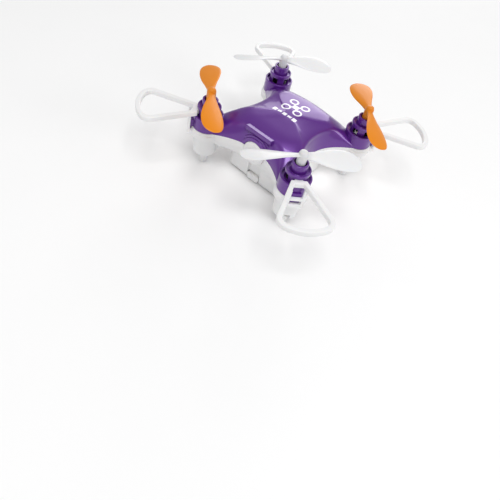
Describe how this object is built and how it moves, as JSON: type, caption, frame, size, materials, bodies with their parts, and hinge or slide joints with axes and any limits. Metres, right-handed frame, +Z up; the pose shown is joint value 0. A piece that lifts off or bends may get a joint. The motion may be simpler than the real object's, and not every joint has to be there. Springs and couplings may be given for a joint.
{
  "type": "palm quadcopter drone",
  "caption": "Palm-size toy quadcopter: domed two-part shell on four motor pods with feet, two-blade propellers, pull-off guard loops, sliding battery cover and power switch.",
  "frame": {"origin": "on the ground plane, midway between the four motor axes, at the level of the feet", "axes": "+Z up along the motor axes, nose towards -Y, the aircraft's left side towards +X"},
  "size_m": [0.0646, 0.0646, 0.0249],
  "materials": {
    "shell_purple": "glossy moulded",
    "shell_white": "satin moulded",
    "blank_white": "glossy moulded",
    "guard_white": "satin moulded",
    "propeller_white": "glossy thin moulded",
    "propeller_orange": "glossy thin moulded, slightly translucent",
    "board_green": "solder mask",
    "chip_black": "moulded package",
    "bare_steel": "drawn steel",
    "connector_white": "moulded nylon",
    "ceramic_tan": "ceramic",
    "lamp_clear": "clear lens",
    "knob_black": "fine texture",
    "battery_foil": "wrapped foil",
    "foam_grey": "closed-cell foam",
    "wire_red": "insulated wire",
    "wire_black": "insulated wire",
    "wire_blue": "insulated wire",
    "wire_grey": "insulated wire",
    "screw_steel": "zinc plated",
    "magnet_grey": "sintered",
    "bush_brass": "turned",
    "coil_copper": "enamelled wire"
  },
  "bodies": {
    "root": {"top_shell": "shell_purple", "bottom_shell": "shell_white", "nose_blank": "blank_white", "main_board": "board_green", "controller_chip": "chip_black", "radio_chip": "chip_black", "motion_sensor": "chip_black", "crystal": "bare_steel", "battery_socket": "connector_white", "battery_plug": "connector_white", "motor_transistors": "chip_black", "capacitors": "ceramic_tan", "status_lamps": "lamp_clear", "power_switch_body": "bare_steel", "battery_cell": "battery_foil", "battery_foam": "foam_grey", "battery_lead_red": "wire_red", "battery_lead_black": "wire_black", "motor_leads_red": "wire_red", "motor_leads_blue": "wire_blue", "antenna_wire": "wire_grey", "shell_screws": "screw_steel", "foot_cap_front_right": "shell_white", "motor_can_front_right": "bare_steel", "motor_magnet_front_right": "magnet_grey", "motor_bushes_front_right": "bush_brass", "motor_end_cap_front_right": "knob_black", "foot_cap_front_left": "shell_white", "motor_can_front_left": "bare_steel", "motor_magnet_front_left": "magnet_grey", "motor_bushes_front_left": "bush_brass", "motor_end_cap_front_left": "knob_black", "foot_cap_rear_left": "shell_white", "motor_can_rear_left": "bare_steel", "motor_magnet_rear_left": "magnet_grey", "motor_bushes_rear_left": "bush_brass", "motor_end_cap_rear_left": "knob_black", "foot_cap_rear_right": "shell_white", "motor_can_rear_right": "bare_steel", "motor_magnet_rear_right": "magnet_grey", "motor_bushes_rear_right": "bush_brass", "motor_end_cap_rear_right": "knob_black"},
    "rotor_front_right": {"propeller_front_right": "propeller_orange", "motor_shaft_front_right": "bare_steel", "motor_coil_front_right": "coil_copper"},
    "rotor_front_left": {"propeller_front_left": "propeller_white", "motor_shaft_front_left": "bare_steel", "motor_coil_front_left": "coil_copper"},
    "rotor_rear_left": {"propeller_rear_left": "propeller_orange", "motor_shaft_rear_left": "bare_steel", "motor_coil_rear_left": "coil_copper"},
    "rotor_rear_right": {"propeller_rear_right": "propeller_white", "motor_shaft_rear_right": "bare_steel", "motor_coil_rear_right": "coil_copper"},
    "battery_cover_body": {"battery_cover": "shell_white"},
    "switch_knob_body": {"power_switch_knob": "knob_black"},
    "guard_body_front_right": {"guard_front_right": "guard_white"},
    "guard_body_front_left": {"guard_front_left": "guard_white"},
    "guard_body_rear_left": {"guard_rear_left": "guard_white"},
    "guard_body_rear_right": {"guard_rear_right": "guard_white"}
  },
  "joints": [
    {"name": "propeller_spin_front_right", "type": "hinge", "parent": "root", "child": "rotor_front_right", "pos_m": [-0.0155, -0.0155, 0.0234], "axis": [0, 0, 1], "continuous": true},
    {"name": "propeller_spin_front_left", "type": "hinge", "parent": "root", "child": "rotor_front_left", "pos_m": [0.0155, -0.0155, 0.0234], "axis": [0, 0, 1], "continuous": true},
    {"name": "propeller_spin_rear_left", "type": "hinge", "parent": "root", "child": "rotor_rear_left", "pos_m": [0.0155, 0.0155, 0.0234], "axis": [0, 0, 1], "continuous": true},
    {"name": "propeller_spin_rear_right", "type": "hinge", "parent": "root", "child": "rotor_rear_right", "pos_m": [-0.0155, 0.0155, 0.0234], "axis": [0, 0, 1], "continuous": true},
    {"name": "guard_pull_front_right", "type": "slide", "parent": "root", "child": "guard_body_front_right", "axis": [-0.7071, -0.7071, 0], "range_m": [0, 0.008]},
    {"name": "guard_pull_front_left", "type": "slide", "parent": "root", "child": "guard_body_front_left", "axis": [0.7071, -0.7071, 0], "range_m": [0, 0.008]},
    {"name": "guard_pull_rear_left", "type": "slide", "parent": "root", "child": "guard_body_rear_left", "axis": [0.7071, 0.7071, 0], "range_m": [0, 0.008]},
    {"name": "guard_pull_rear_right", "type": "slide", "parent": "root", "child": "guard_body_rear_right", "axis": [-0.7071, 0.7071, 0], "range_m": [0, 0.008]},
    {"name": "battery_cover_slide", "type": "slide", "parent": "root", "child": "battery_cover_body", "axis": [0, 1, 0], "range_m": [0, 0.016]},
    {"name": "power_switch_slide", "type": "slide", "parent": "root", "child": "switch_knob_body", "axis": [1, 0, 0], "range_m": [0, 0.002]}
  ]
}
